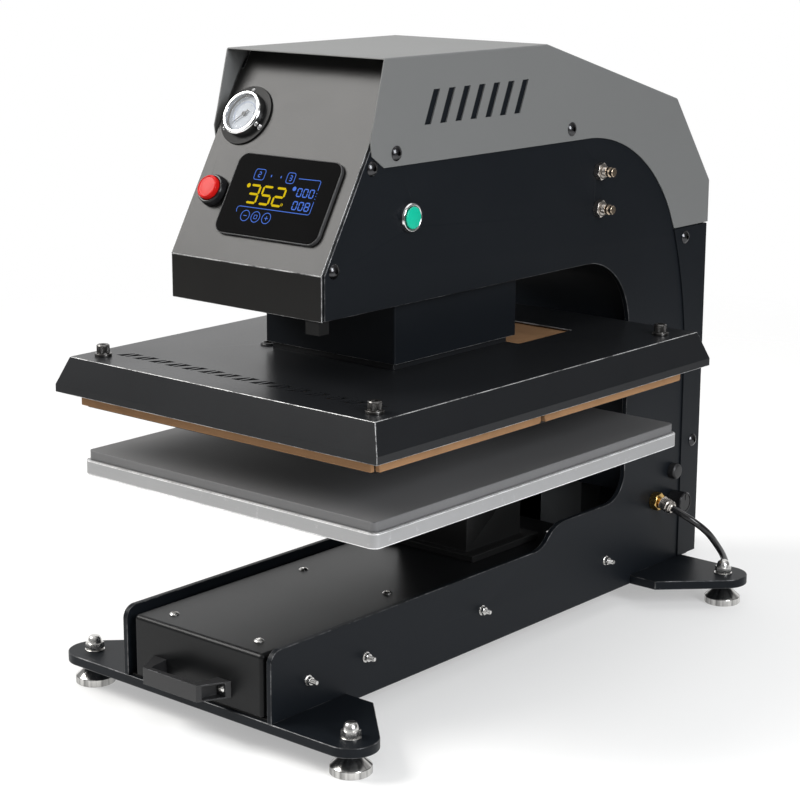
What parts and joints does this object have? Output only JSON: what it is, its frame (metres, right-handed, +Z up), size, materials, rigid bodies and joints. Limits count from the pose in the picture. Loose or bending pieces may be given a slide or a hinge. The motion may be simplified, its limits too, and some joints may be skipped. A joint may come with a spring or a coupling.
{
  "type": "heat press",
  "caption": "Air-operated heat press: C-frame with a sliding lower platen on a drawer, a descending heated platen, a control panel and levelling feet.",
  "frame": {"origin": "middle of the machine's footprint on the floor, hose left out", "axes": "+X to the machine's right, +Y to the back, +Z up"},
  "size_m": [0.4432, 0.8947, 0.663],
  "materials": {
    "black_powder_coat": "satin black powder coat, fine texture",
    "grey_paint": "satin warm grey paint",
    "machined_steel": "machined steel",
    "ground_steel": "ground and hardened rod",
    "cast_aluminium": "machined aluminium",
    "bronze": "oiled bronze",
    "stainless": "turned stainless",
    "black_oxide_steel": "black oxide",
    "gauge_metal": "gloss black",
    "polished_chrome": "polished",
    "dial_face": "white dial with printed scale",
    "clear_lens": "clear",
    "needle_black": "matt black",
    "display_frame": "satin black moulding",
    "display_front": "gloss black front with lit figures",
    "black_plastic": "moulded black",
    "red_plastic": "gloss red",
    "green_plastic": "gloss green",
    "nickel": "nickel plate",
    "brass": "machined brass",
    "valve_grey": "grey enamel",
    "circuit_board": "green solder mask",
    "hose_black": "smooth black polyurethane",
    "insulation_tan": "woven tan insulation",
    "grey_silicone": "matt grey silicone",
    "handle_black": "moulded black"
  },
  "bodies": {
    "press_frame": {"side_plate_right": "black_powder_coat", "side_plate_left": "black_powder_coat", "front_foot_plate": "black_powder_coat", "rear_foot_plate": "black_powder_coat", "base_tray": "black_powder_coat", "column_web": "black_powder_coat", "rear_cover": "black_powder_coat", "top_cowling": "grey_paint", "control_panel": "black_powder_coat", "head_base_plate": "machined_steel", "head_spacers": "machined_steel", "cylinder_barrel": "cast_aluminium", "cylinder_caps": "cast_aluminium", "guide_bushes": "bronze", "shroud_outer": "black_powder_coat", "drawer_rails_outer": "machined_steel", "side_bolts": "stainless", "casing_screws": "black_oxide_steel", "gauge_case": "gauge_metal", "gauge_bezel": "polished_chrome", "gauge_dial": "dial_face", "gauge_lens": "clear_lens", "display_housing": "display_frame", "display_glass": "display_front", "red_button_housing": "black_plastic", "green_button_bezel": "polished_chrome", "air_fittings": "nickel", "inlet_fitting": "brass", "air_valves": "valve_grey", "controller_board": "circuit_board", "power_inlet": "black_plastic", "foot_cap_nuts": "stainless", "air_hose": "hose_black", "air_hose_coil": "hose_black", "hose_connector": "nickel"},
    "upper_platen": {"platen_cover": "black_powder_coat", "cover_bolts": "black_oxide_steel", "pressure_plate": "machined_steel", "insulation": "insulation_tan", "heating_platen": "cast_aluminium", "guide_rods": "ground_steel", "piston_rod": "ground_steel", "shroud_inner": "black_powder_coat"},
    "drawer_carriage": {"drawer_cover": "black_powder_coat", "drawer_rails_inner": "machined_steel", "drawer_screws": "stainless", "drawer_handle": "handle_black", "pedestal": "black_powder_coat", "lower_platen": "cast_aluminium", "silicone_pad": "grey_silicone"},
    "needle": {"gauge_needle": "needle_black"},
    "red_cap": {"red_button": "red_plastic"},
    "green_cap": {"green_button": "green_plastic"},
    "upper_flow_knob": {"flow_knob_upper": "nickel"},
    "lower_flow_knob": {"flow_knob_lower": "nickel"},
    "pressure_knob": {"regulator_knob": "black_plastic"},
    "foot_front_left": {"levelling_foot_front_left": "stainless"},
    "foot_front_right": {"levelling_foot_front_right": "stainless"},
    "foot_rear_left": {"levelling_foot_rear_left": "stainless"},
    "foot_rear_right": {"levelling_foot_rear_right": "stainless"}
  },
  "joints": [
    {"name": "platen_press", "type": "slide", "parent": "press_frame", "child": "upper_platen", "axis": [0, 0, -1], "range_m": [0, 0.0464]},
    {"name": "drawer_slide", "type": "slide", "parent": "press_frame", "child": "drawer_carriage", "axis": [0, -1, 0], "range_m": [0, 0.32]},
    {"name": "needle_turn", "type": "hinge", "parent": "press_frame", "child": "needle", "pos_m": [-0.069, -0.2054, 0.59713], "axis": [0, -0.866, 0.5], "range_deg": [-270, 0]},
    {"name": "red_button_press", "type": "slide", "parent": "press_frame", "child": "red_cap", "axis": [0, 0.866, -0.5], "range_m": [0, 0.004], "stiffness_N_per_m": 700},
    {"name": "green_button_press", "type": "slide", "parent": "press_frame", "child": "green_cap", "axis": [-1, 0, 0], "range_m": [0, 0.003], "stiffness_N_per_m": 700},
    {"name": "upper_flow_knob_turn", "type": "hinge", "parent": "press_frame", "child": "upper_flow_knob", "pos_m": [0.12, 0.16275, 0.521], "axis": [1, 0, 0], "continuous": true},
    {"name": "lower_flow_knob_turn", "type": "hinge", "parent": "press_frame", "child": "lower_flow_knob", "pos_m": [0.12, 0.16275, 0.48], "axis": [1, 0, 0], "continuous": true},
    {"name": "pressure_knob_turn", "type": "hinge", "parent": "press_frame", "child": "pressure_knob", "pos_m": [0.115, 0.33175, 0.1097], "axis": [1, 0, 0], "range_deg": [-150, 150]},
    {"name": "foot_turn_front_left", "type": "hinge", "parent": "press_frame", "child": "foot_front_left", "pos_m": [-0.182, -0.33075, 0.02], "axis": [0, 0, 1], "continuous": true},
    {"name": "foot_turn_front_right", "type": "hinge", "parent": "press_frame", "child": "foot_front_right", "pos_m": [0.182, -0.33075, 0.02], "axis": [0, 0, 1], "continuous": true},
    {"name": "foot_turn_rear_left", "type": "hinge", "parent": "press_frame", "child": "foot_rear_left", "pos_m": [-0.182, 0.32875, 0.02], "axis": [0, 0, 1], "continuous": true},
    {"name": "foot_turn_rear_right", "type": "hinge", "parent": "press_frame", "child": "foot_rear_right", "pos_m": [0.182, 0.32875, 0.02], "axis": [0, 0, 1], "continuous": true}
  ]
}
